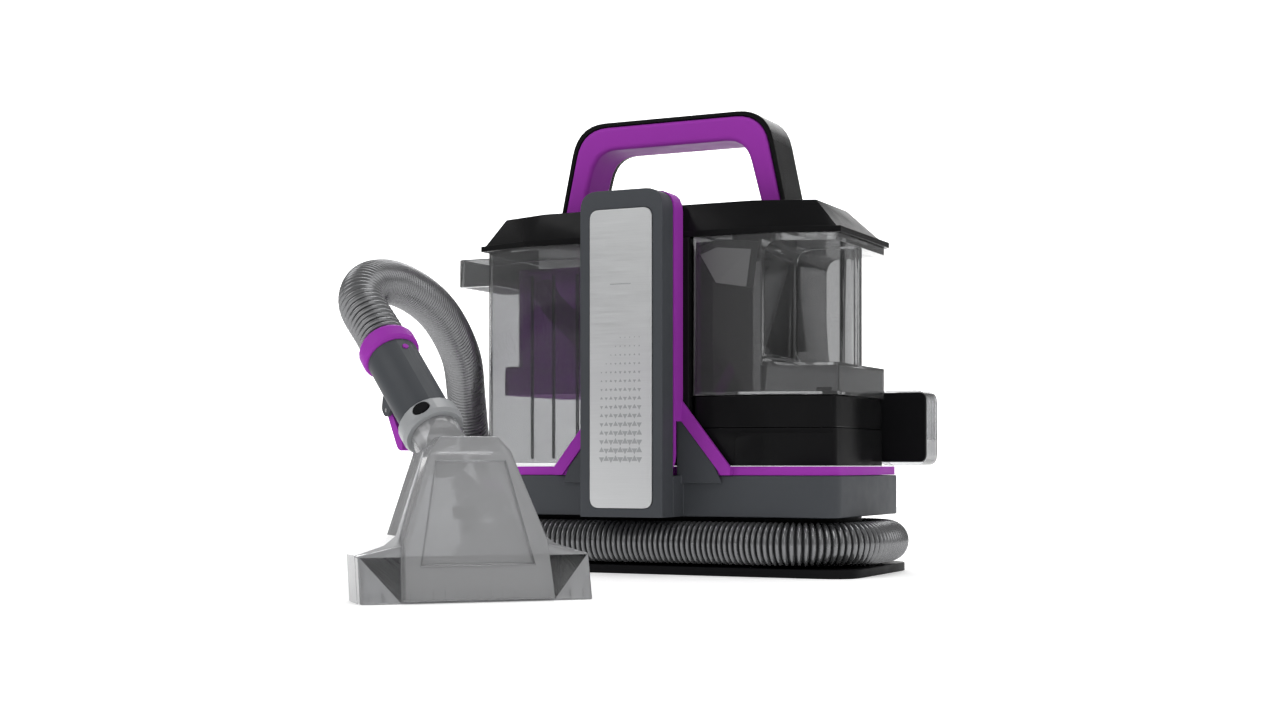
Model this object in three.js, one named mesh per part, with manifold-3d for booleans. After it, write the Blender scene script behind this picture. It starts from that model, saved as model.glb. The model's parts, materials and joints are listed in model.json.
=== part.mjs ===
// A portable carpet spot cleaner: millimetres, +Z up, front towards -Y, origin on the floor
// under the middle of the base plate.
import * as THREE from "three";
import { mergeVertices } from "three/addons/utils/BufferGeometryUtils.js";
import Module from "manifold-3d";

const wasm = await Module();
wasm.setup();

// ---- driving dimensions ----
const GAP = 0.3;
const WALL = 2.5;
const PLATE = { x: 177, y: 78, top: 7, corner: 26 };
const FOOT = { x: 132, y: 52, r: 9, h: 2.7 };
const PEDESTAL = { x: 151, y: 55, top: 46.2, corner: 40 };
const BASE = { x: 164.5, front: -75, back: 85, z0: 46.5, z1: 79, corner: 12 };
const RAIL = { top: 86.3, inset: 1.2 };
const GUSSET = { x0: 36.6, x1: 78, rise: 138, width: 13, front: -80 };
const COLUMN = { x: 35.8, front: -114.4, back: -94, top: 303, shoulder: 15 };
const LABEL = { x: 27, z0: 53.5, z1: 288, r: 8, proud: 0.9, sunk: 1.2 };
const TRIM = { x: 36.6, back: -77, top: 304, wall: 5 };
const CORE = { x: 41.5, front: -76.7, back: 70, top: 268 };
const REAR = { thick: 3.5 };
const WING = { x0: 42.3, bend: 108, end: 156, y: 73.5, endY: 54, back: 66 };
const ROOF = { z0: 268.5, lip: 273, top: 295, x: 161, topX: 139, y: 74.5, topFront: -68, topBack: 24 };
const HANDLE = { base: 295.3, top: 376, footX: 103, topX: 86, r: 26, skin: 3.5, bar: 17, beam: 5, y0: -22, y1: 24 };
const DOCK = { z0: 86.6, seam: 116.5, top: 142 };
const CLEAN = { z0: 142.3, top: 268, ledge: 167.5, pocketX: 104, pocketTop: 262, web: 2 };
const GRIP_BAR = { x0: 143.5, x1: 156.7, y: 12.5 };
const DIRTY = { z0: 86.6, shellTop: 256, top: 268 };
const PULL = { x0: 156.4, x1: 194, y: 40, z0: 241, z1: 265, wall: 4 };
const SEPARATOR = { x0: 48, x1: 131, y: 50, z0: 146, z1: 252, skirtTop: 170, skirt: 9 };
const MOTOR = { y: 5, r: 32, z0: 150, z1: 212, shaft: 4 };
const FAN = { r: 36, bladeR: 29, z0: 212.3, z1: 242 };
const HOLSTER = { x0: 148, x1: 189, z0: 86.7, z1: 150, depth: 34, wall: 3 };
const HOSE = { r: 17, z: 26, x: 174, y: 74, corner: 62, sides: 10 };
const TOOL = { x: 31.5, y: -387.6, turn: 45, lean: 0.3 };
const NOZZLE = { half: 76, wing: 30, step: 36, midX: 49, topX: 27, top: 106, y0: -13, seam: 4, y1: 32 };
const WAND = { r: 18, neckFoot: 9, neck: 24, shell: 86, end: 101.4, button: -2.3, cap: -1.6, collarR: 20.5 };
const WAND_FOOT = new THREE.Vector3(-12.4, 48.4, 102);
const WAND_HEAD = new THREE.Vector3(-35.2, 119.1, 171);

// ---- looks ----
const paint = (color, roughness = 0.5, metalness = 0, opacity = 1) =>
  new THREE.MeshStandardMaterial({ color, roughness, metalness, opacity, transparent: opacity < 1 });
const SLATE = paint(0x55595e, 0.55);
const PURPLE = paint(0xa03eaf, 0.4);
const BLACK = paint(0x0c0c0d, 0.25);
const BLACK_MATT = paint(0x18191b, 0.6);
const SILVER = paint(0xc8caca, 0.35, 0.7);
const SMOKE = paint(0x3a3b3d, 0.1, 0, 0.45);
const CLEAR = paint(0xb9bdc2, 0.05, 0, 0.3);
const VIOLET_CLEAR = paint(0x8d7c92, 0.2, 0, 0.5);
const HOSE_GREY = paint(0x8f9194, 0.35, 0.3);
const LIGHT_GREY = paint(0xa9abad, 0.45);
const RUBBER = paint(0x141414, 0.9);
const METAL = paint(0xb0b0b0, 0.3, 0.9);
const BOARD = paint(0x1f5a34, 0.6);
const TUBE = paint(0xd8d8d8, 0.4, 0, 0.6);

// ---- shape helpers ----
const machine = new THREE.Group();

function solid(geometry) {
  const bare = geometry.index ? geometry.toNonIndexed() : geometry.clone();
  bare.deleteAttribute("normal");
  bare.deleteAttribute("uv");
  const merged = mergeVertices(bare, 1e-4);
  return new wasm.Manifold(
    new wasm.Mesh({
      numProp: 3,
      vertProperties: new Float32Array(merged.attributes.position.array),
      triVerts: new Uint32Array(merged.index.array),
    }),
  );
}

function surface(body) {
  const { vertProperties, triVerts } = body.getMesh();
  const geometry = new THREE.BufferGeometry();
  geometry.setAttribute("position", new THREE.BufferAttribute(vertProperties, 3));
  geometry.setIndex(new THREE.BufferAttribute(triVerts, 1));
  geometry.computeVertexNormals();
  return geometry;
}

const join = (...bodies) => bodies.reduce((a, b) => a.add(b));
const cut = (body, ...tools) => tools.reduce((a, b) => a.subtract(b), body);

function add(name, body, material, parent = machine) {
  const mesh = new THREE.Mesh(surface(body), material);
  mesh.name = name;
  parent.add(mesh);
}

function outline(points, radius = 0) {
  const shape = new THREE.Shape();
  points.forEach(([x, y], i) => {
    const before = points.at(i - 1);
    const after = points[(i + 1) % points.length];
    const corner = new THREE.Vector2(x, y);
    const reach = (end) => {
      const side = new THREE.Vector2(...end).sub(corner);
      const length = Math.min(radius, side.length() / 2);
      return side.setLength(length).add(corner);
    };
    const start = reach(before);
    const stop = reach(after);
    if (i === 0) shape.moveTo(start.x, start.y);
    else shape.lineTo(start.x, start.y);
    if (radius > 0) shape.quadraticCurveTo(x, y, stop.x, stop.y);
  });
  shape.closePath();
  return shape;
}

const rectangle = (x0, x1, y0, y1, radius = 0) =>
  outline([[x0, y0], [x1, y0], [x1, y1], [x0, y1]], radius);

function extrusion(shape, depth, segments = 4) {
  return new THREE.ExtrudeGeometry(shape, { depth, bevelEnabled: false, curveSegments: segments });
}

// Shape in X and Y, raised along Z.
const slabZ = (shape, z0, z1, segments) =>
  solid(extrusion(shape, z1 - z0, segments).translate(0, 0, z0));

// Shape in X and Z, carried along Y.
const slabY = (shape, y0, y1, segments) =>
  solid(extrusion(shape, y1 - y0, segments).rotateX(Math.PI / 2).translate(0, y1, 0));

// Shape in Y and Z, carried along X.
function slabX(shape, x0, x1, segments) {
  const turn = new THREE.Matrix4().makeBasis(
    new THREE.Vector3(0, 1, 0), new THREE.Vector3(0, 0, 1), new THREE.Vector3(1, 0, 0));
  return solid(extrusion(shape, x1 - x0, segments).applyMatrix4(turn).translate(x0, 0, 0));
}

function block(x0, x1, y0, y1, z0, z1) {
  const box = new THREE.BoxGeometry(Math.abs(x1 - x0), y1 - y0, z1 - z0);
  return solid(box.translate((x0 + x1) / 2, (y0 + y1) / 2, (z0 + z1) / 2));
}

// A turned body on a vertical axis at x, y: its profile is pairs of radius and height.
function turned(profile, x = 0, y = 0, segments = 28) {
  const points = profile.map(([r, z]) => new THREE.Vector2(r, z));
  return solid(new THREE.LatheGeometry(points, segments).rotateX(Math.PI / 2).translate(x, y, 0));
}

const post = (r, x, y, z0, z1, segments = 24) =>
  turned([[0, z0], [r, z0], [r, z1], [0, z1]], x, y, segments);

function rodX(r, x0, x1, y, z, segments = 20) {
  const rod = new THREE.CylinderGeometry(r, r, x1 - x0, segments);
  return solid(rod.rotateZ(Math.PI / 2).translate((x0 + x1) / 2, y, z));
}

function rodY(r, x, y0, y1, z, segments = 20) {
  const rod = new THREE.CylinderGeometry(r, r, y1 - y0, segments);
  return solid(rod.translate(x, (y0 + y1) / 2, z));
}

function tube(points, r, steps, sides) {
  const curve = new THREE.CatmullRomCurve3(points.map((p) => new THREE.Vector3(...p)));
  const section = new THREE.Shape();
  for (let i = 0; i < sides; i += 1) {
    const angle = (2 * Math.PI * i) / sides;
    const method = i === 0 ? "moveTo" : "lineTo";
    section[method](r * Math.cos(angle), r * Math.sin(angle));
  }
  section.closePath();
  return solid(new THREE.ExtrudeGeometry(section, { steps, extrudePath: curve, bevelEnabled: false }));
}

const mirrored = (points) => points.map(([x, y]) => [-x, y]).reverse();

// ---- plans ----
// Half plan of a wing, from the core out to its end, drawn in by an offset.
function wingPlan(inset = 0, x0 = WING.x0 + inset, end = WING.end - inset) {
  const y = WING.y - inset;
  return [
    [x0, -y], [WING.bend - inset * 0.2, -y], [end, -WING.endY + inset * 0.5],
    [end, WING.back - inset], [end - 8, y], [x0, y],
  ];
}

const basePlan = (inset) => [
  [-BASE.x + inset, BASE.front + inset], [BASE.x - inset, BASE.front + inset],
  [BASE.x - inset, BASE.back - inset], [-BASE.x + inset, BASE.back - inset],
];

// ---- base ----
function addBase() {
  const plan = rectangle(-PLATE.x, PLATE.x, -PLATE.y, PLATE.y, PLATE.corner);
  let plate = slabZ(plan, 0, PLATE.top, 5);
  for (const sx of [-1, 1]) {
    for (const sy of [-1, 1]) {
      const x = sx * FOOT.x;
      const y = sy * FOOT.y;
      plate = cut(plate, post(FOOT.r + GAP, x, y, -1, FOOT.h + GAP));
      add(`foot_${sy < 0 ? "front" : "rear"}_${sx < 0 ? "left" : "right"}`,
        post(FOOT.r, x, y, 0, FOOT.h), RUBBER);
    }
  }
  add("base_plate", plate, BLACK_MATT);

  const drum = rectangle(-PEDESTAL.x, PEDESTAL.x, -PEDESTAL.y, PEDESTAL.y, PEDESTAL.corner);
  const inner = rectangle(4 - PEDESTAL.x, PEDESTAL.x - 4, 4 - PEDESTAL.y, PEDESTAL.y - 4, PEDESTAL.corner);
  add("pedestal", cut(slabZ(drum, PLATE.top + GAP, PEDESTAL.top, 5),
    slabZ(inner, PLATE.top + 4, PEDESTAL.top + 1, 5)), BLACK_MATT);

  // Gusset backs stand on the base housing, under the slanting trim.
  const slope = (GUSSET.rise - RAIL.top) / (GUSSET.x1 - GUSSET.x0);
  const low = GUSSET.x1 - GUSSET.width - GAP;
  const fin = [[COLUMN.x - 4, BASE.z1 - 6], [low + (RAIL.top - BASE.z1) / slope, BASE.z1 - 6],
    [low, RAIL.top], [COLUMN.x - 4, RAIL.top + slope * (low - COLUMN.x + 4)]];
  const fins = [fin, mirrored(fin)].map((points) => slabY(outline(points), GUSSET.front + 1, TRIM.back));
  const nose = block(-COLUMN.x, COLUMN.x, COLUMN.back + GAP, BASE.front + 4, BASE.z0, BASE.z1);
  add("base_housing", cut(
    join(slabZ(outline(basePlan(0), BASE.corner), BASE.z0, BASE.z1, 4), nose),
    slabZ(outline(basePlan(3), BASE.corner), BASE.z0 + 3, BASE.z1 + 1, 4)).add(
    join(...fins).subtract(block(-200, 200, BASE.front + 3, 0, 60, 90))), SLATE);
}

// ---- purple trim: deck rail, gussets and the arch beside the column, in one moulding ----
function addTrim() {
  const i = RAIL.inset;
  const deck = slabZ(outline(basePlan(i), BASE.corner), BASE.z1 + GAP, RAIL.top, 4);
  const arch = slabY(rectangle(-TRIM.x, TRIM.x, BASE.z1 + GAP, TRIM.top, COLUMN.shoulder + 1),
    COLUMN.back + GAP, TRIM.back, 5);
  const w = TRIM.wall;
  const hollow = slabY(rectangle(w - TRIM.x, TRIM.x - w, 60, TRIM.top - w, COLUMN.shoulder - 3),
    COLUMN.back - 1, TRIM.back + 1, 5);
  const slope = (GUSSET.rise - RAIL.top) / (GUSSET.x1 - GUSSET.x0);
  const band = [[GUSSET.x1 - GUSSET.width, RAIL.top - 0.5], [GUSSET.x1, RAIL.top - 0.5],
    [GUSSET.x0 - 1, GUSSET.rise + slope], [GUSSET.x0 - 1, GUSSET.rise + slope - GUSSET.width * slope]];
  const bands = [band, mirrored(band)].map((points) => slabY(outline(points), GUSSET.front, TRIM.back));
  const foot = (side) => block(side * (TRIM.x - w), side * GUSSET.x1, GUSSET.front, -66,
    BASE.z1 + GAP, RAIL.top);
  add("trim_frame", cut(join(deck, arch, ...bands, foot(-1), foot(1)), hollow,
    finRoom(slope), mirrorRoom(slope)), PURPLE);
}

// The room that the fins of the base housing need in the trim.
function finOutline(slope) {
  const low = GUSSET.x1 - GUSSET.width;
  return [[COLUMN.x - 5, BASE.z1 - 1], [low + (RAIL.top - BASE.z1 + 1) / slope, BASE.z1 - 1],
    [low, RAIL.top], [COLUMN.x - 5, RAIL.top + slope * (low - COLUMN.x + 5)]];
}
const finRoom = (slope) => slabY(outline(finOutline(slope)), TRIM.back - 13, TRIM.back + GAP);
const mirrorRoom = (slope) => slabY(outline(mirrored(finOutline(slope))), TRIM.back - 13, TRIM.back + GAP);

// ---- column ----
function addColumn() {
  const c = COLUMN;
  const arched = (inset, y0, y1) => join(
    slabY(rectangle(inset - c.x, c.x - inset, BASE.z0 + inset, c.top - inset, c.shoulder - inset), y0, y1, 6),
    block(inset - c.x, c.x - inset, y0, y1, BASE.z0 + inset, c.top / 2));
  const w = 3;
  const shell = arched(0, c.front, c.back);
  const inner = arched(w, c.front + 4, c.back + 1);
  const pocket = slabY(rectangle(-LABEL.x - GAP, LABEL.x + GAP, LABEL.z0 - GAP, LABEL.z1 + GAP, LABEL.r),
    c.front - 1, c.front + LABEL.sunk, 6);
  add("column_shell", cut(shell, inner, pocket), SLATE);
  add("label_plate", slabY(rectangle(-LABEL.x, LABEL.x, LABEL.z0, LABEL.z1, LABEL.r),
    c.front - LABEL.proud, c.front + LABEL.sunk - GAP, 6), SILVER);
}

// ---- core between the tanks, and what it holds ----
function addCore() {
  const c = CORE;
  add("core_housing", cut(block(-c.x, c.x, c.front, c.back, RAIL.top + GAP, c.top),
    block(WALL - c.x, c.x - WALL, c.front + WALL, c.back + 1, RAIL.top + 3, c.top - 3)), BLACK);
  const y0 = c.back + GAP;
  const y1 = y0 + REAR.thick;
  let cover = slabY(rectangle(-c.x, c.x, RAIL.top + GAP, c.top, 4), y0, y1);
  for (let z = 150; z <= 220; z += 10) {
    cover = cut(cover, slabY(rectangle(-26, 26, z, z + 4, 2), y0 - 1, y1 + 1, 2));
  }
  cover = cut(cover, rodY(11 + GAP, 0, y0 - 1, y1 + 1, 112));
  for (const [name, sx, z] of [["low_left", -1, 96], ["low_right", 1, 96], ["top_left", -1, 258],
    ["top_right", 1, 258]]) {
    const x = sx * 33;
    cover = cut(cover, rodY(3 + GAP, x, y1 - 2, y1 + 1, z, 16));
    add(`rear_screw_${name}`, rodY(3, x, y1 - 2 + GAP, y1, z, 16), METAL);
  }
  add("rear_cover", cover, BLACK_MATT);
  add("cord_inlet", cut(join(rodY(11, 0, y0 - 8, y1 + 2, 112), rodY(8, 0, y1 + 1, y1 + 12, 112)),
    rodY(4, 0, y0 - 9, y1 + 13, 112, 14)), RUBBER);

  const m = MOTOR;
  add("suction_motor", turned([[0, m.z0], [14, m.z0], [18, m.z0 + 6], [m.r, m.z0 + 12], [m.r, m.z1 - 14],
    [20, m.z1 - 6], [12, m.z1], [m.shaft, m.z1], [m.shaft, FAN.z0 + 8], [0, FAN.z0 + 8]], 0, m.y), METAL);
  add("motor_mount", turned([[m.r + GAP, m.z0 + 14], [m.r + 4, m.z0 + 14], [m.r + 4, m.z0 + 22],
    [m.r + GAP, m.z0 + 22], [m.r + GAP, m.z0 + 14]], 0, m.y), RUBBER);
  add("fan_housing", turned([[13, FAN.z0], [FAN.r, FAN.z0], [FAN.r, FAN.z1], [16, FAN.z1],
    [16, FAN.z1 - 2], [FAN.r - 2, FAN.z1 - 2], [FAN.r - 2, FAN.z0 + 2], [13, FAN.z0 + 2],
    [13, FAN.z0]], 0, m.y), BLACK_MATT);
  let wheel = post(FAN.bladeR, 0, m.y, FAN.z0 + 9, FAN.z0 + 11);
  wheel = join(wheel, post(8, 0, m.y, FAN.z0 + 9, FAN.z0 + 20, 16));
  for (let k = 0; k < 8; k += 1) {
    const blade = new THREE.BoxGeometry(20, 1.6, 11).translate(17.5, 0, FAN.z0 + 15.5);
    wheel = join(wheel, solid(blade.rotateZ(((k + 0.35) * Math.PI) / 4).translate(0, m.y, 0)));
  }
  add("fan_impeller", wheel, BLACK_MATT);

  add("water_pump", join(block(-17, 17, -62, -32, 92, 122), rodX(9, -10, 24, -47, 128)), BLACK_MATT);
  add("control_board", block(-32, 32, 56, 57.6, 128, 144.5), BOARD);
  add("suction_tube", tube([[0, -60, 147], [0, -60, 190], [0, -52, 225], [0, -40, 246]], 7, 8, 8), TUBE);
  add("water_tube", tube([[-24, -47, 92], [-30, -47, 110], [-30, -30, 125], [-30, 0, 130],
    [-30, 20, 110], [-30, 30, 92]], 3, 10, 8), TUBE);
}

// ---- dock under the clean tank ----
function addDock() {
  const lower = slabZ(outline(wingPlan(), 5), DOCK.z0, DOCK.seam - GAP / 2, 3);
  const room = slabZ(outline(wingPlan(WALL), 4), DOCK.z0 - 1, DOCK.seam - 4, 3);
  const skin = cut(slabZ(outline(wingPlan(-1.2, WING.x0), 5), DOCK.z0, DOCK.seam, 3),
    block(-200, 200, -WING.endY, 200, 0, 200));
  const panel = skin.intersect(slabY(rectangle(80, 200, DOCK.z0 - 20, DOCK.seam - 4, 8), -90, 0));
  add("dock_lower", cut(join(lower, panel), room), BLACK);
  const upper = slabZ(outline(wingPlan(0.6), 5), DOCK.seam + GAP / 2, DOCK.top, 3);
  add("dock_upper", cut(upper, post(13, 129, 0, DOCK.seam + 3, DOCK.top + 1)), BLACK);
}

// ---- clean tank ----
function addCleanTank() {
  const c = CLEAN;
  let tank = slabZ(outline(wingPlan(0, WING.x0, 158), 5), c.z0, c.top, 3);
  const pocket = rectangle(c.pocketX, 190, c.ledge, c.pocketTop, 13);
  tank = cut(tank, slabY(pocket, -90, -c.web, 4), slabY(pocket, c.web, 90, 4));
  const bar = slabZ(rectangle(GRIP_BAR.x0, GRIP_BAR.x1, -GRIP_BAR.y, GRIP_BAR.y, 5),
    c.ledge - 1, c.pocketTop + 1, 3);
  const main = slabZ(outline(wingPlan(WALL, WING.x0 + WALL, c.pocketX - WALL).slice(0, 1).concat([
    [c.pocketX - WALL, WALL - WING.y], [c.pocketX - WALL, WING.y - WALL], [WING.x0 + WALL, WING.y - WALL],
  ]), 4), c.z0 + WALL, c.top - 4, 3);
  const foot = slabZ(outline(wingPlan(WALL, c.pocketX - 5, 158 - WALL), 4), c.z0 + WALL, c.ledge - WALL, 3);
  const neck = post(16, 74, 0, c.top - 8, c.top + 1);
  const drain = post(5, 129, 0, c.z0 - 1, c.z0 + WALL + 1, 16);
  add("clean_tank", cut(join(tank, bar), main, foot, neck, drain), SMOKE);
  add("filler_cap", join(turned([[0, c.top - 12], [13, c.top - 12], [13, c.top - 6], [15.4, c.top - 6],
    [15.4, c.top - GAP], [0, c.top - GAP]], 74, 0)), BLACK_MATT);
  add("clean_valve", join(post(4.4, 129, 0, c.z0 + GAP, c.z0 + 8, 16),
    post(8, 129, 0, c.z0 + WALL + GAP, c.z0 + 8, 16)), BLACK_MATT);
}

// ---- dirty tank ----
function addDirtyTank() {
  const d = DIRTY;
  const s = SEPARATOR;
  const flip = (inset, x0, end) => outline(mirrored(wingPlan(inset, x0, end)), 5);
  add("dirty_tank", cut(slabZ(flip(0), d.z0, d.shellTop, 3),
    slabZ(flip(WALL), d.z0 + WALL, d.shellTop + 1, 3)), CLEAR);
  const lid = slabZ(flip(0), d.shellTop + GAP, d.top, 3);
  add("dirty_tank_lid", cut(lid, slabZ(flip(WALL + 0.5), d.shellTop - 1, d.top - WALL, 3),
    post(12, -74, 0, d.top - 4, d.top + 1)), SMOKE);

  const p = PULL;
  const loop = slabZ(rectangle(-p.x1, -p.x0, -p.y, p.y, 6), p.z0, p.z1, 3);
  const hole = slabZ(rectangle(p.wall - p.x1, -p.x0 - p.wall, p.wall - p.y, p.y - p.wall, 3),
    p.z0 - 1, p.z1 + 1, 3);
  add("dirty_tank_pull", cut(loop, hole), SMOKE);

  const w = 2;
  const box = slabZ(rectangle(-s.x1, -s.x0, -s.y, s.y, 12), s.skirtTop - 1, s.z1, 3);
  const skirt = slabZ(rectangle(-s.x1 - s.skirt, -s.x0, -s.y - s.skirt, s.y + s.skirt, 14),
    s.z0, s.skirtTop, 3);
  const inBox = slabZ(rectangle(w - s.x1, -s.x0 - w, w - s.y, s.y - w, 10), s.z0 - 1, s.z1 - w, 3);
  const inSkirt = slabZ(rectangle(w - s.x1 - s.skirt, -s.x0 - w, w - s.y - s.skirt, s.y + s.skirt - w, 12),
    s.z0 - 1, s.skirtTop - w, 3);
  add("separator", cut(join(box, skirt), inBox, inSkirt, post(12, -74, 0, s.z1 - 4, s.z1 + 1)), VIOLET_CLEAR);
  add("separator_duct", tube([[-62, -34, 180], [-70, -36, 192], [-84, -37, 206], [-104, -34, 224],
    [-116, -28, 238]], 11, 10, 8), paint(0x5c1f68, 0.4));
  add("float_guide", turned([[13, 177], [15, 177], [15, 246], [13, 246], [13, 177]], -88, 14, 20), CLEAR);
  add("float", turned([[0, 180], [10, 180], [12, 186], [12, 204], [8, 210], [0, 210]], -88, 14, 20), PURPLE);
}

// ---- roof and handle ----
function addRoof() {
  const r = ROOF;
  const plan = (inset) => {
    const right = [[WING.bend - inset * 0.4, inset - r.y], [r.x - inset, inset - WING.endY - 2],
      [r.x - inset, r.y - 8 - inset], [r.x - 6 - inset, r.y - inset]];
    return [...right, ...mirrored(right)];
  };
  // Above the lip the walls lean in: a long slope at the back, short ones at the front and ends.
  const hipped = (inset) => {
    const top = r.top - inset;
    const geometry = extrusion(outline(plan(inset)), top - r.z0 + (inset ? 1 : 0));
    geometry.translate(0, 0, r.z0 - (inset ? 1 : 0));
    const position = geometry.attributes.position;
    for (let k = 0; k < position.count; k += 1) {
      if (position.getZ(k) < top - 1) continue;
      const y = position.getY(k);
      position.setX(k, (position.getX(k) * r.topX) / r.x);
      position.setY(k, y < 0 ? (y * -r.topFront) / r.y : (y * r.topBack) / r.y);
    }
    return solid(geometry);
  };
  const lip = slabZ(outline(plan(0)), r.z0, r.lip);
  add("roof_cover", cut(join(hipped(0), lip), hipped(3), post(10, 0, -44, r.top - 12, r.top + 1)), BLACK);
  add("power_button", join(post(9.4, 0, -44, r.top - 5, r.top + 3.5), post(12.5, 0, -44, r.top - 8, r.top - 4.5)),
    PURPLE);
}

function addHandle() {
  const h = HANDLE;
  const rise = h.top - h.base;
  const lean = (h.footX - h.topX) / rise;
  // The beam along the top is deeper than the legs by h.beam.
  const ring = (inset, drop) => [[-h.footX + inset, h.base - 40], [h.footX - inset, h.base - 40],
    [h.topX - inset, h.top - drop], [-h.topX + inset, h.top - drop]];
  const level = (inset, y0, y1, drop = inset) => {
    const points = ring(inset, drop);
    points[0][0] -= lean * 40;
    points[1][0] += lean * 40;
    return slabY(outline(points, h.r - inset * 0.4), y0, y1, 7);
  };
  const under = block(-200, 200, -100, 100, h.base - 80, h.base);
  const skin = cut(level(0, h.y0, h.y1), level(h.skin, h.y0 - 1, h.y1 - 6));
  add("handle_shell", cut(skin, level(h.bar, h.y0 - 1, h.y1 + 1, h.bar + h.beam), under), BLACK);
  const y0 = h.y0 - 1.5;
  add("handle_grip", cut(level(h.skin + GAP, y0, h.y1 - 6 - GAP), level(h.bar + 1.5, y0 - 1, h.y1 + 1, h.bar + h.beam + 1.5), under), PURPLE);
}

// ---- holster at the right rear ----
function addHolster() {
  const y0 = WING.y + GAP + 0.5;
  add("holster_plate", slabY(rectangle(112, 190, 90, 148, 6), y0, y0 + 4), BLACK_MATT);
  const front = y0 + 4 + GAP;
  const h = HOLSTER;
  const body = slabY(rectangle(h.x0, h.x1, h.z0, h.z1, 9), front, front + h.depth, 4);
  let clip = cut(body, block(h.x0 + h.wall, h.x1 - h.wall, front + h.wall, front + h.depth - h.wall,
    h.z0 + h.wall, h.z1 + 1));
  for (let x = h.x0 + 6; x < h.x1 - 6; x += 7) {
    clip = join(clip, block(x, x + 2, front + h.depth - 1, front + h.depth + 1.2, h.z0 + 6, h.z1 - 6));
  }
  add("holster", clip, SMOKE);
}

// ---- hose ----
// Route by hand: out of the socket, behind, round the right side, along the front, round the
// left end, up, and over to the hand tool. A corner is an arc.
function cornerArc(cx, cy, from, to, steps) {
  const points = [];
  for (let i = 0; i <= steps; i += 1) {
    const a = THREE.MathUtils.degToRad(from + ((to - from) * i) / steps);
    points.push([cx + HOSE.corner * Math.cos(a), cy + HOSE.corner * Math.sin(a), HOSE.z]);
  }
  return points;
}

function addHose() {
  const x = HOSE.x - HOSE.corner;
  const y = HOSE.y - HOSE.corner;
  add("hose_socket", join(rodX(18.5, -158, -118.3, HOSE.y, HOSE.z + 0.5),
    block(-158, -130, PEDESTAL.y + GAP, HOSE.y, HOSE.z - 12, HOSE.z + 12)), BLACK_MATT);
  const wrap = [[-118, HOSE.y, HOSE.z], [-60, HOSE.y, HOSE.z], [0, HOSE.y, HOSE.z], [60, HOSE.y, HOSE.z],
    ...cornerArc(x, y, 90, 0, 5), ...cornerArc(x, -y, 0, -90, 5),
    [60, -HOSE.y, HOSE.z], [0, -HOSE.y, HOSE.z], [-60, -HOSE.y, HOSE.z], [-112, -HOSE.y, HOSE.z]];
  add("hose_wrap", tube(wrap, HOSE.r, 44, HOSE.sides), HOSE_GREY);
  const free = [[-112.3, -HOSE.y, HOSE.z], [-124, -HOSE.y, HOSE.z], [-146, -67, 26], [-166, -52, 27], [-186, -24, 33],
    [-204, 8, 46], [-219, 32, 68], [-225, 38, 94], [-219, 22, 122], [-206, -5, 147], [-181, -55, 179],
    [-162, -115, 206.5], [-145, -180, 221], [-133, -240, 225], [-120, -288, 216], [-107, -312, 200.5],
    [-86.7, -323.6, 180.5], [-77.6, -328.3, 171]];
  add("hose_free", tube(free, HOSE.r, 34, HOSE.sides), HOSE_GREY);
}

// ---- hand tool ----
const tool = new THREE.Group();
tool.position.set(TOOL.x, TOOL.y, 0);
tool.rotation.z = THREE.MathUtils.degToRad(TOOL.turn);
machine.add(tool);

function nozzleOutline(inset) {
  const n = NOZZLE;
  const right = [[n.half - inset, inset], [n.half - inset, n.wing - inset], [n.midX + 8 - inset, n.step - inset],
    [n.midX - inset, n.step + 6 - inset], [n.topX - inset, n.top - 8 - inset], [n.topX - 8 - inset, n.top - inset]];
  return [...right, ...mirrored(right)];
}

// The nozzle leans back as it rises.
function leaned(body) {
  return body.warp((v) => { v[1] += v[2] * TOOL.lean; });
}

// The wand's own frame: along the wand, and towards its underside, where the trigger is.
function makeWandFrame() {
  const along = WAND_HEAD.clone().sub(WAND_FOOT).normalize();
  const under = new THREE.Vector3(0, 0, -1).addScaledVector(along, along.z).normalize();
  const across = new THREE.Vector3().crossVectors(under, along);
  return new THREE.Matrix4().makeBasis(across, under, along).setPosition(WAND_FOOT);
}
const wandFrame = makeWandFrame();
const wand = new THREE.Group();
wand.applyMatrix4(wandFrame);
tool.add(wand);

// A round bar on the wand's axis, in the tool's frame.
function wandBar(r, from, to) {
  const bar = new THREE.CylinderGeometry(r, r, to - from, 24).rotateX(Math.PI / 2);
  return solid(bar.translate(0, 0, (from + to) / 2).applyMatrix4(wandFrame));
}

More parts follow.
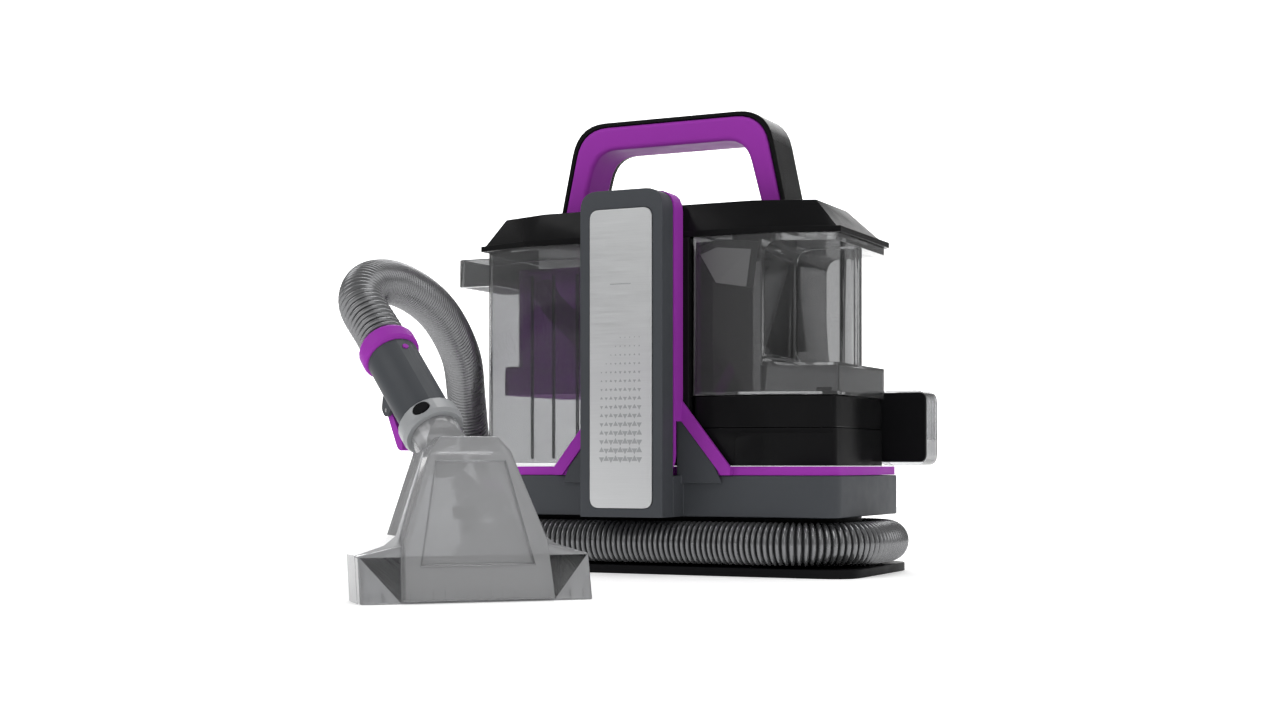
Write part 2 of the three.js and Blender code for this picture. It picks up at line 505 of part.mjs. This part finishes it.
function addNozzle() {
  const n = NOZZLE;
  const rear = cut(slabY(outline(nozzleOutline(0)), n.seam + GAP, n.y1),
    slabY(outline([[n.half - 3, -1], [n.half - 3, n.wing - 4], [n.midX - 4, n.step], [n.topX - 4, n.top - 12],
      [-n.topX + 4, n.top - 12], [-n.midX + 4, n.step], [3 - n.half, n.wing - 4], [3 - n.half, -1]]),
    n.seam - 1, n.y1 - 3));
  const spigot = wandBar(17, -16, WAND.neckFoot - GAP);
  const neckRoom = wandBar(22, WAND.neckFoot - GAP, 60);
  add("nozzle_body", cut(join(leaned(rear), spigot), neckRoom, leaned(block(-90, 90, -40, n.seam + GAP, -5, 130))),
    LIGHT_GREY, tool);
  const frame = slabY(outline([[n.midX, 2], [n.midX - 2, n.step + 4], [n.topX, n.top - 9], [n.topX - 8, n.top],
    [8 - n.topX, n.top], [-n.topX, n.top - 9], [2 - n.midX, n.step + 4], [-n.midX, 2]]), n.y0, n.seam);
  const wings = slabY(outline([[n.half, 0], [n.half, n.wing], [n.midX, n.step], [-n.midX, n.step],
    [-n.half, n.wing], [-n.half, 0]]), n.y0 + 7, n.seam);
  const room = slabY(outline([[n.half - 3, -1], [n.half - 3, n.wing - 4], [n.midX - 5, n.step - 3],
    [n.topX - 5, n.top - 12], [5 - n.topX, n.top - 12], [5 - n.midX, n.step - 3], [3 - n.half, n.wing - 4],
    [3 - n.half, -1]]), n.y0 + 9.5, n.seam + 1);
  const recess = slabY(outline([[n.midX - 12, n.step - 12], [n.topX - 4, n.top - 16], [4 - n.topX, n.top - 16],
    [12 - n.midX, n.step - 12]]), n.y0 - 1, n.y0 + 2.5);
  add("nozzle_cover", cut(leaned(cut(join(frame, wings), room, recess)), neckRoom), CLEAR, tool);
  add("spray_tip", leaned(join(block(-5, 5, 4, n.y1 - 3 - GAP, 52, 60),
    block(-3, 3, 5, 11, 44, 54))), BLACK_MATT, tool);
}

function addWand() {
  const w = WAND;
  const turnedWand = (profile, segments = 24) => turned(profile, 0, 0, segments);
  const neck = turnedWand([[13, w.neckFoot], [20, w.neckFoot], [21.5, w.neckFoot + 3], [21.5, w.neck - 3], [19, w.neck - GAP],
    [13, w.neck - GAP], [13, w.neckFoot]]);
  const window = solid(new THREE.CylinderGeometry(6.3, 6.3, 10, 20).scale(1, 1, 0.75)
    .rotateZ(Math.PI / 2).translate(20.5, 0, 16.5).rotateZ(w.button));
  add("neck_ring", cut(neck, window), LIGHT_GREY, wand);
  add("release_button", solid(new THREE.CylinderGeometry(5.7, 5.7, 5.3, 20).scale(1, 1, 0.72)
    .rotateZ(Math.PI / 2).translate(19.65, 0, 16.5).rotateZ(w.button)), BLACK_MATT, wand);
  const shell = turnedWand([[13, w.neck], [w.r, w.neck], [w.r, w.shell], [13, w.shell], [13, w.neck]]);
  const ear = (x) => slabX(outline([[15, 50], [24.5, 52], [24.5, 60], [15, 66]], 3), x, x + 3, 3);
  const dotHole = solid(new THREE.CylinderGeometry(2.4, 2.4, 6, 16)
    .rotateZ(Math.PI / 2).translate(w.r + 0.5, 0, w.shell - 8).rotateZ(w.cap));
  const pinHoles = rodX(1.5 + GAP, -12, 12, 21, 56, 12);
  add("wand_shell", cut(join(shell, ear(-10.3), ear(7.3)), dotHole, pinHoles), SLATE, wand);
  add("wand_cap", solid(new THREE.CylinderGeometry(2.1, 2.1, 2.6, 16)
    .rotateZ(Math.PI / 2).translate(w.r - 0.7, 0, w.shell - 8).rotateZ(w.cap)), PURPLE, wand);
  const blade = outline([[18.8, 60], [24.3, 59], [33, 30], [30, 24], [25, 28]], 3);
  add("trigger", cut(slabX(blade, -7, 7, 3), pinHoles), PURPLE, wand);
  add("trigger_pin", rodX(1.5, -10, 10, 21, 56, 12), METAL, wand);
  add("hose_collar", turnedWand([[12, w.shell + GAP], [w.collarR - 1, w.shell + GAP], [w.collarR, w.shell + 3],
    [w.collarR, w.end - 4], [w.collarR - 2, w.end - GAP], [12, w.end - GAP], [12, w.shell + GAP]]),
  PURPLE, wand);
}

addBase();
addTrim();
addColumn();
addCore();
addDock();
addCleanTank();
addDirtyTank();
addRoof();
addHandle();
addHolster();
addHose();
addNozzle();
addWand();

export default machine;
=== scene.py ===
"""A portable carpet spot cleaner: the looks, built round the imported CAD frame. Metres, +Z up."""
import json
import math

import bmesh
import bpy
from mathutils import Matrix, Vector


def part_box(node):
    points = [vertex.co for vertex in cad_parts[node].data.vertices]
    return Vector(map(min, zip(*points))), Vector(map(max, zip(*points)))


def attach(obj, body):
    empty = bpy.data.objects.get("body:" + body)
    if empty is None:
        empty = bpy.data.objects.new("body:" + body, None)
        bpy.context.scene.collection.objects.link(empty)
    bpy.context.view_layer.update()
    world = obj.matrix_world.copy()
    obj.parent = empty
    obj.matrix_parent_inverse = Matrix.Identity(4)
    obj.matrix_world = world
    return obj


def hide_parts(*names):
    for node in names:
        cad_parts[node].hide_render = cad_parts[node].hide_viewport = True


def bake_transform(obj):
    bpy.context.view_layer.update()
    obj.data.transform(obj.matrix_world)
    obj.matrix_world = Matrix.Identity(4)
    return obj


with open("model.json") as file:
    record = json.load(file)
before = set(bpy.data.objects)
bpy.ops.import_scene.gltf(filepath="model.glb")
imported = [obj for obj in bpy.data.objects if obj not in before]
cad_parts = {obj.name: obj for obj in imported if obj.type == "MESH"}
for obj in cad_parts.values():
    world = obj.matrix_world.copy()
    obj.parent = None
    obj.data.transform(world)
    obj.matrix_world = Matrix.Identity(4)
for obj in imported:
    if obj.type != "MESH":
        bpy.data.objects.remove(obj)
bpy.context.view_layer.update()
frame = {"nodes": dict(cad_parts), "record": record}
nodes = frame["nodes"]
BODY_OF = {node: body for body, members in frame["record"]["behaviour"]["bodies"].items()
           for node in members}
SLOT_OF = {part["node"]: part["material_slot"] for part in frame["record"]["subparts"]}
MM = 0.001

# ---- camera, low and to the right of the front; level, with the frame shifted up a little ----
EYE = Vector((0.6204, -1.3801, 0.0874))
AZIMUTH, LENS, RISE = math.radians(25.5), 50.625, 0.082


def make_camera():
    data = bpy.data.cameras.new("camera")
    data.lens = LENS
    data.sensor_width = 36
    data.shift_y = RISE
    data.clip_start = 0.05
    camera = bpy.data.objects.new("camera", data)
    camera.location = EYE
    camera.rotation_euler = (math.pi / 2, 0, AZIMUTH)
    bpy.context.scene.collection.objects.link(camera)
    bpy.context.scene.camera = camera


make_camera()


# ---- materials ----
class Nodes:
    """Short calls for building one material's node tree."""

    def __init__(self, name):
        self.material = bpy.data.materials.new(name)
        self.material.use_nodes = True
        self.tree = self.material.node_tree
        self.shader = self.tree.nodes["Principled BSDF"]
        self.coords = self.add("ShaderNodeTexCoord").outputs["Object"]

    def add(self, kind, inputs=(), **settings):
        node = self.tree.nodes.new(kind)
        for key, value in settings.items():
            setattr(node, key, value)
        for key, value in dict(inputs).items():
            if isinstance(value, bpy.types.NodeSocket):
                self.tree.links.new(value, node.inputs[key])
            else:
                node.inputs[key].default_value = value
        return node

    def stretched(self, scale):
        return self.add("ShaderNodeMapping", {"Vector": self.coords, "Scale": scale}).outputs[0]

    def noise(self, scale, detail=3, stretch=None):
        where = self.stretched(stretch) if stretch else self.coords
        texture = self.add("ShaderNodeTexNoise", {"Vector": where, "Scale": scale, "Detail": detail})
        return texture.outputs["Fac"]

    def span(self, value, low, high, start=0.3, end=0.7):
        return self.add("ShaderNodeMapRange", {"Value": value, "From Min": start, "From Max": end,
                                               "To Min": low, "To Max": high}).outputs[0]

    def colours(self, value, dark, light):
        mix = self.add("ShaderNodeMix", data_type="RGBA")
        self.tree.links.new(value, mix.inputs["Factor"])
        mix.inputs["A"].default_value = (*dark, 1)
        mix.inputs["B"].default_value = (*light, 1)
        return mix.outputs["Result"]

    def set(self, **sockets):
        for key, value in sockets.items():
            name = key.replace("_", " ")
            if isinstance(value, bpy.types.NodeSocket):
                self.tree.links.new(value, self.shader.inputs[name])
            else:
                self.shader.inputs[name].default_value = value

    def bump(self, height, strength, distance):
        node = self.add("ShaderNodeBump", {"Height": height, "Strength": strength, "Distance": distance})
        self.tree.links.new(node.outputs[0], self.shader.inputs["Normal"])


def shade(colour, factor):
    return tuple(min(1.0, c * factor) for c in colour)


def plastic(name, colour, rough, grain=900, depth=0.02, metallic=0.0, gloss=0.5):
    """Moulded plastic: a fine spark-eroded grain, slight blotches in colour and gloss, handling marks."""
    n = Nodes(name)
    blotch = n.noise(14, 4)
    n.set(Base_Color=n.colours(blotch, shade(colour, 0.94), shade(colour, 1.06)),
          Roughness=n.span(n.noise(55, 5), max(0.03, rough - 0.05), rough + 0.06), Metallic=metallic)
    n.shader.inputs["Specular IOR Level"].default_value = gloss
    n.bump(n.noise(grain, 2), depth, 0.0004)
    return n.material


def clear_plastic(name, colour, rough, ior, weight=1.0):
    """Polished clear moulding: a slow flow ripple in the wall, and fine wiping marks in its gloss."""
    n = Nodes(name)
    n.set(Base_Color=n.colours(n.noise(9, 3), shade(colour, 0.96), shade(colour, 1.04)),
          Roughness=n.span(n.noise(120, 6), rough, rough + 0.03))
    n.shader.inputs["Transmission Weight"].default_value = weight
    n.shader.inputs["IOR"].default_value = ior
    n.bump(n.noise(26, 2), 0.03, 0.0006)
    return n.material


def brushed(name, colour, rough, grain):
    """Metal brushed along X."""
    n = Nodes(name)
    strokes = n.noise(grain, 6, (0.02, 1, 1))
    n.set(Base_Color=n.colours(strokes, shade(colour, 0.93), shade(colour, 1.05)),
          Roughness=n.span(strokes, rough - 0.05, rough + 0.08))
    n.shader.inputs["Metallic"].default_value = 0.75
    n.bump(strokes, 0.06, 0.0002)
    return n.material


def make_materials():
    return {
        "slate": plastic("slate", (0.068, 0.073, 0.081), 0.46, 1400, 0.05, gloss=0.15),
        "purple": plastic("purple", (0.36, 0.046, 0.44), 0.38, 1200, 0.02, gloss=0.03),
        "gloss_black": plastic("gloss_black", (0.0085, 0.0085, 0.009), 0.2, 300, 0.006, gloss=0.08),
        "matt_black": plastic("matt_black", (0.009, 0.009, 0.01), 0.45, 1500, 0.06, gloss=0.05),
        "silver_label": brushed("silver_label", (0.68, 0.69, 0.695), 0.36, 1800),
        "smoke_clear": clear_plastic("smoke_clear", (0.25, 0.252, 0.255), 0.03, 1.4, weight=0.82),
        "clear": clear_plastic("clear", (0.50, 0.503, 0.51), 0.02, 1.45, weight=0.95),
        "violet_clear": clear_plastic("violet_clear", (0.50, 0.24, 0.60), 0.12, 1.3, weight=0.7),
        "hose_grey": plastic("hose_grey", (0.23, 0.232, 0.238), 0.24, 700, 0.02, metallic=0.7),
        "nozzle_grey": clear_plastic("nozzle_grey", (0.56, 0.565, 0.575), 0.05, 1.45, weight=0.62),
        "light_grey": plastic("light_grey", (0.36, 0.37, 0.38), 0.35, 1200, 0.03),
        "rubber": plastic("rubber", (0.012, 0.012, 0.012), 0.75, 800, 0.1),
        "metal": brushed("metal", (0.5, 0.5, 0.51), 0.3, 900),
        "board": plastic("board", (0.02, 0.13, 0.045), 0.35, 500, 0.1),
        "tubing": clear_plastic("tubing", (0.85, 0.86, 0.86), 0.15, 1.3),
    }


MATERIALS = make_materials()


# ---- helpers for pieces ----
def new_piece(name, mesh, slot, body):
    piece = bpy.data.objects.new(name, mesh)
    bpy.context.scene.collection.objects.link(piece)
    mesh.materials.clear()
    mesh.materials.append(MATERIALS[slot])
    if body:
        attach(piece, body)
    return piece


def smooth(mesh, degrees=32):
    mesh.shade_smooth()
    mesh.set_sharp_from_angle(angle=math.radians(degrees))


def refined(node, width, degrees=30):
    """A copy of a CAD node with its flat facets merged and its edges rounded over; it stands for the node."""
    mesh = nodes[node].data.copy()
    form = bmesh.new()
    form.from_mesh(mesh)
    bmesh.ops.remove_doubles(form, verts=form.verts, dist=2e-6)
    bmesh.ops.dissolve_limit(form, angle_limit=math.radians(1.0), verts=form.verts, edges=form.edges)
    form.to_mesh(mesh)
    form.free()
    piece = new_piece(node + "_shell", mesh, SLOT_OF[node], BODY_OF[node])
    smooth(mesh, degrees)
    bevel = piece.modifiers.new("edge", "BEVEL")
    bevel.width = width
    bevel.segments = 3
    bevel.limit_method = "ANGLE"
    bevel.angle_limit = math.radians(degrees)
    bevel.harden_normals = True
    bevel.use_clamp_overlap = True
    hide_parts(node)


# ---- hose: one corrugated tube along the route of its CAD solids ----
HOSE_R, HOSE_Z, HOSE_X, HOSE_Y, CORNER_R = 0.017, 0.026, 0.174, 0.074, 0.062
HOSE_PITCH, HOSE_GROOVE, HOSE_SIDES, HOSE_RINGS = 0.0046, 0.0032, 28, 6


def corner_points(cx, cy, start, end, steps=5):
    angles = [math.radians(start + (end - start) * i / steps) for i in range(steps + 1)]
    return [(cx + CORNER_R * math.cos(a), cy + CORNER_R * math.sin(a), HOSE_Z) for a in angles]


def hose_route():
    cx, cy = HOSE_X - CORNER_R, HOSE_Y - CORNER_R
    back = [(x, HOSE_Y, HOSE_Z) for x in (-0.118, -0.060, 0.0, 0.060)]
    front = [(x, -HOSE_Y, HOSE_Z) for x in (0.060, 0.0, -0.060, -0.1121, -0.124)]
    free = [(-0.146, -0.067, 0.026), (-0.166, -0.052, 0.027), (-0.186, -0.024, 0.033),
            (-0.204, 0.008, 0.046), (-0.219, 0.032, 0.068), (-0.225, 0.038, 0.094),
            (-0.219, 0.022, 0.122), (-0.206, -0.005, 0.147), (-0.181, -0.055, 0.179),
            (-0.162, -0.115, 0.2065), (-0.145, -0.180, 0.221), (-0.133, -0.240, 0.225),
            (-0.120, -0.288, 0.216), (-0.107, -0.312, 0.2005), (-0.0867, -0.3236, 0.1805),
            (-0.0776, -0.3283, 0.171)]
    return [Vector(p) for p in
            [*back, *corner_points(cx, cy, 90, 0), *corner_points(cx, -cy, 0, -90), *front, *free]]


def through(points, per_span=24):
    """A smooth line through the points: a centripetal Catmull-Rom curve."""
    ends = [points[0] * 2 - points[1], *points, points[-1] * 2 - points[-2]]
    line = []
    for a, b, c, d in zip(ends, ends[1:], ends[2:], ends[3:]):
        ta = math.sqrt((b - a).length)
        tb = ta + math.sqrt((c - b).length)
        tc = tb + math.sqrt((d - c).length)
        for i in range(per_span):
            t = ta + (tb - ta) * i / per_span
            p1 = a * (1 - t / ta) + b * (t / ta)
            p2 = b * ((tb - t) / (tb - ta)) + c * ((t - ta) / (tb - ta))
            p3 = c * ((tc - t) / (tc - tb)) + d * ((t - tb) / (tc - tb))
            q1 = p1 * ((tb - t) / tb) + p2 * (t / tb)
            q2 = p2 * ((tc - t) / (tc - ta)) + p3 * ((t - ta) / (tc - ta))
            line.append(q1 * ((tb - t) / (tb - ta)) + q2 * ((t - ta) / (tb - ta)))
    return [*line, points[-1]]


def spaced(line, step):
    """The same line with a point at every equal step along it."""
    reach = [0.0]
    for a, b in zip(line, line[1:]):
        reach.append(reach[-1] + (b - a).length)
    count = max(2, round(reach[-1] / step))
    points, k = [], 0
    for i in range(count + 1):
        want = reach[-1] * i / count
        while k < len(reach) - 2 and reach[k + 1] < want:
            k += 1
        part = (want - reach[k]) / max(1e-9, reach[k + 1] - reach[k])
        points.append(line[k].lerp(line[k + 1], min(1.0, part)))
    return points, reach[-1]


def sweep(points, radii, sides):
    """A closed tube along points, with a radius at each of them."""
    form = bmesh.new()
    side = Vector((0, 0, 1))
    rings = []
    for i, p in enumerate(points):
        ahead = (points[min(i + 1, len(points) - 1)] - points[max(i - 1, 0)]).normalized()
        side = (side - ahead * side.dot(ahead)).normalized()
        other = ahead.cross(side)
        rings.append([form.verts.new(p + (side * math.cos(a) + other * math.sin(a)) * radii[i])
                      for a in (2 * math.pi * k / sides for k in range(sides))])
    for near, far in zip(rings, rings[1:]):
        for k in range(sides):
            form.faces.new((near[k], near[(k + 1) % sides], far[(k + 1) % sides], far[k]))
    form.faces.new(list(reversed(rings[0])))
    form.faces.new(rings[-1])
    mesh = bpy.data.meshes.new("tube")
    form.to_mesh(mesh)
    form.free()
    return mesh


def make_hose():
    line = through(hose_route())
    points, length = spaced(line, HOSE_PITCH / HOSE_RINGS)
    crest = [0.5 + 0.5 * math.cos(2 * math.pi * i / HOSE_RINGS) for i in range(len(points))]
    radii = [HOSE_R - HOSE_GROOVE * (1 - c) ** 1.6 for c in crest]
    mesh = sweep(points, radii, HOSE_SIDES)
    smooth(mesh, 60)
    piece = new_piece("hose", mesh, "hose_grey", None)
    # The rings at the bottom of each corrugation take a near-black material: painted shade in the grooves of
    # the grey hose.
    mesh.materials.append(plastic("hose_groove_painted_shade", (0.03, 0.031, 0.033), 0.5, 700, 0.02, gloss=0.2))
    shaded_rings = (HOSE_RINGS // 2 - 1, HOSE_RINGS // 2)
    for face in mesh.polygons[:(len(points) - 1) * HOSE_SIDES]:
        face.material_index = int((face.index // HOSE_SIDES) % HOSE_RINGS in shaded_rings)
    path = spaced(line, HOSE_R / 2)[0]
    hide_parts("hose_wrap", "hose_free")
    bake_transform(piece)


make_hose()


# ---- shells ----
EDGES = {
    "base_plate": 1.2, "pedestal": 1.0, "base_housing": 1.4, "trim_frame": 0.8, "column_shell": 2.6,
    "label_plate": 0.5, "core_housing": 0.8, "rear_cover": 0.6, "dock_lower": 1.0, "dock_upper": 1.0,
    "clean_tank": 1.1, "dirty_tank": 0.9, "dirty_tank_lid": 0.9, "dirty_tank_pull": 1.2,
    "separator": 0.7, "roof_cover": 1.2, "handle_shell": 1.4, "handle_grip": 4.0, "power_button": 0.8,
    "holster": 0.9, "holster_plate": 0.8, "hose_socket": 1.0, "nozzle_body": 1.2, "nozzle_cover": 1.2,
    "spray_tip": 0.5, "neck_ring": 0.8, "release_button": 0.8, "wand_shell": 0.8, "trigger": 1.6,
    "hose_collar": 1.4, "filler_cap": 0.8, "float": 0.6, "cord_inlet": 0.7,
}
for node_name, edge in EDGES.items():
    refined(node_name, edge * MM)
for node_name, node in nodes.items():
    if node_name not in EDGES and not node_name.startswith("hose_"):
        node.data.materials.clear()
        node.data.materials.append(MATERIALS[SLOT_OF[node_name]])


# ---- small details ----
def from_form(name, form, slot, body):
    bmesh.ops.recalc_face_normals(form, faces=form.faces)
    mesh = bpy.data.meshes.new(name)
    form.to_mesh(mesh)
    form.free()
    return new_piece(name, mesh, slot, body)


def plate(form, front, back):
    """A closed plate between two outlines with the same number of corners."""
    near = [form.verts.new(p) for p in front]
    far = [form.verts.new(p) for p in back]
    form.faces.new(near)
    form.faces.new(list(reversed(far)))
    for i in range(len(near)):
        j = (i + 1) % len(near)
        form.faces.new((near[j], near[i], far[i], far[j]))


def bar(form, low, high, place=lambda p: p):
    """A closed box between two corners, which place puts where it belongs."""
    x0, y0, z0 = low
    x1, y1, z1 = high
    ring = [(x0, z0), (x1, z0), (x1, z1), (x0, z1)]
    plate(form, [place(Vector((x, y0, z))) for x, z in ring], [place(Vector((x, y1, z))) for x, z in ring])


LABEL_ROWS, LABEL_PITCH, LABEL_RISE, LABEL_FOOT = 15, 0.0082, 0.0068, 0.092
LABEL_RULE_X, LABEL_RULE_Z = 0.009, (0.2288, 0.2294)


def make_label_print():
    """Small triangles that shrink upwards and towards the left, and a short rule above them."""
    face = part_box("label_plate")[0].y
    low, high = face - 0.00012, face + 0.0004
    form = bmesh.new()
    for row in range(LABEL_ROWS):
        for k in range(-4, 5):
            x = k * LABEL_PITCH / 2
            fade = 1.15 - row / LABEL_ROWS - max(0.0, -x) * 14
            size = 0.36 * LABEL_PITCH * max(0.0, min(1.0, fade))
            if size < 0.0006:
                continue
            flip = 1 if (k + row) % 2 else -1
            corners = [(x + size * math.sin(a), LABEL_FOOT + row * LABEL_RISE + flip * size * math.cos(a))
                       for a in (0, 2 * math.pi / 3, 4 * math.pi / 3)]
            plate(form, [(cx, low, cz) for cx, cz in corners], [(cx, high, cz) for cx, cz in corners])
    bar(form, (-LABEL_RULE_X, low, LABEL_RULE_Z[0]), (LABEL_RULE_X, high, LABEL_RULE_Z[1]))
    piece = from_form("label_print", form, "silver_label", "machine")
    piece.data.materials[0] = brushed("label_print", (0.42, 0.43, 0.44), 0.45, 1800)


def make_tank_facets():
    """Three shallow facets that meet at a point, on the front wall of the clean tank."""
    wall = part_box("clean_tank")[0].y + 0.0003
    proud = 0.0016
    tip = Vector((0.064, wall - proud, 0.231))
    rim = [Vector((x, wall, z)) for x, z in ((0.047, 0.259), (0.064, 0.2655), (0.100, 0.262), (0.095, 0.226))]
    form = bmesh.new()
    top = form.verts.new(tip)
    edge = [form.verts.new(p) for p in rim]
    root = form.verts.new(tip + Vector((0, proud, -0.0004)))
    loop = [*edge, root]
    for a, b in zip(loop, loop[1:] + loop[:1]):
        form.faces.new((top, a, b))
    form.faces.new(list(reversed(loop)))
    piece = from_form("tank_facets", form, "smoke_clear", "clean_tank")
    piece.data.materials[0] = clear_plastic("tank_facets", (0.36, 0.362, 0.366), 0.06, 1.4, weight=0.6)


def make_tank_ribs():
    """Upright stiffening ribs inside the front and rear walls of the dirty tank."""
    low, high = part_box("dirty_tank")
    wide = 0.002
    form = bmesh.new()
    for x in (-0.062, -0.084, -0.104):
        for y in (low.y + 0.0026, high.y - 0.0026 - wide):
            bar(form, (x, y, low.z + 0.006), (x + wide, y + wide, high.z - 0.012))
    from_form("dirty_tank_ribs", form, "smoke_clear", "dirty_tank")


# The hand tool's own frame: turned to face left of the camera, and leaning back as it rises.
TOOL_PLACE, TOOL_TURN, TOOL_LEAN = Vector((0.0315, -0.3876, 0)), math.radians(45), 0.3


def on_tool(p):
    y = p.y + p.z * TOOL_LEAN
    c, s = math.cos(TOOL_TURN), math.sin(TOOL_TURN)
    return TOOL_PLACE + Vector((p.x * c - y * s, p.x * s + y * c, p.z))


def make_nozzle_ribs():
    """Short upright beads along the lower lip of the nozzle's front, further back on its wings."""
    form = bmesh.new()
    for k in range(-8, 9):
        if abs(k) > 6:
            bar(form, (k * 0.0088 - 0.0006, -0.0067, 0.0015), (k * 0.0088 + 0.0006, -0.0061, 0.007), on_tool)
        else:
            bar(form, (k * 0.0075 - 0.0006, -0.0137, 0.003), (k * 0.0075 + 0.0006, -0.0131, 0.008), on_tool)
    from_form("nozzle_ribs", form, "nozzle_grey", "hand_tool")


make_label_print()
make_tank_facets()
make_tank_ribs()
make_nozzle_ribs()


# ---- stage and light ----
FLOOR_GLOW, WORLD_GLOW = 0.45, 0.30
# Each light: name, place, size, power.
LIGHTS = (("key", (-1.3, -1.5, 1.5), 1.2, 12), ("fill", (1.9, -1.0, 0.9), 1.0, 5),
          ("top", (0.1, 0.2, 1.9), 1.2, 14), ("rim", (-0.9, 1.5, 1.2), 1.0, 10))


def white_sheet(name, size, glow):
    """A large white sheet that also glows a little, so that it reads as clean studio white."""
    bpy.ops.mesh.primitive_plane_add(size=size)
    sheet = bpy.context.object
    sheet.name = name
    n = Nodes(name)
    n.set(Base_Color=n.colours(n.noise(3), (0.90, 0.90, 0.90), (0.92, 0.92, 0.92)), Roughness=0.7)
    n.shader.inputs["Specular IOR Level"].default_value = 0.0
    n.shader.inputs["Emission Color"].default_value = (1, 1, 1, 1)
    n.shader.inputs["Emission Strength"].default_value = glow
    sheet.data.materials.append(n.material)
    return sheet


def make_stage():
    white_sheet("floor", 60, FLOOR_GLOW)
    backdrop = white_sheet("backdrop", 3.0, 1.0)
    away = Vector((-math.sin(AZIMUTH), math.cos(AZIMUTH), 0))
    backdrop.location = away * 2.2 + Vector((0, 0, 1.45))
    backdrop.rotation_euler = (math.pi / 2, 0, AZIMUTH)
    world = bpy.data.worlds.new("studio")
    bpy.context.scene.world = world
    world.use_nodes = True
    world.node_tree.nodes["Background"].inputs["Color"].default_value = (1, 1, 1, 1)
    world.node_tree.nodes["Background"].inputs["Strength"].default_value = WORLD_GLOW
    bpy.context.scene.view_settings.view_transform = "Standard"
    for name, place, size, power in LIGHTS:
        data = bpy.data.lights.new(name, "AREA")
        data.size = size
        data.energy = power
        lamp = bpy.data.objects.new(name, data)
        lamp.location = place
        lamp.rotation_euler = (Vector((0, 0, 0.18)) - Vector(place)).to_track_quat("-Z", "Y").to_euler()
        bpy.context.scene.collection.objects.link(lamp)


make_stage()
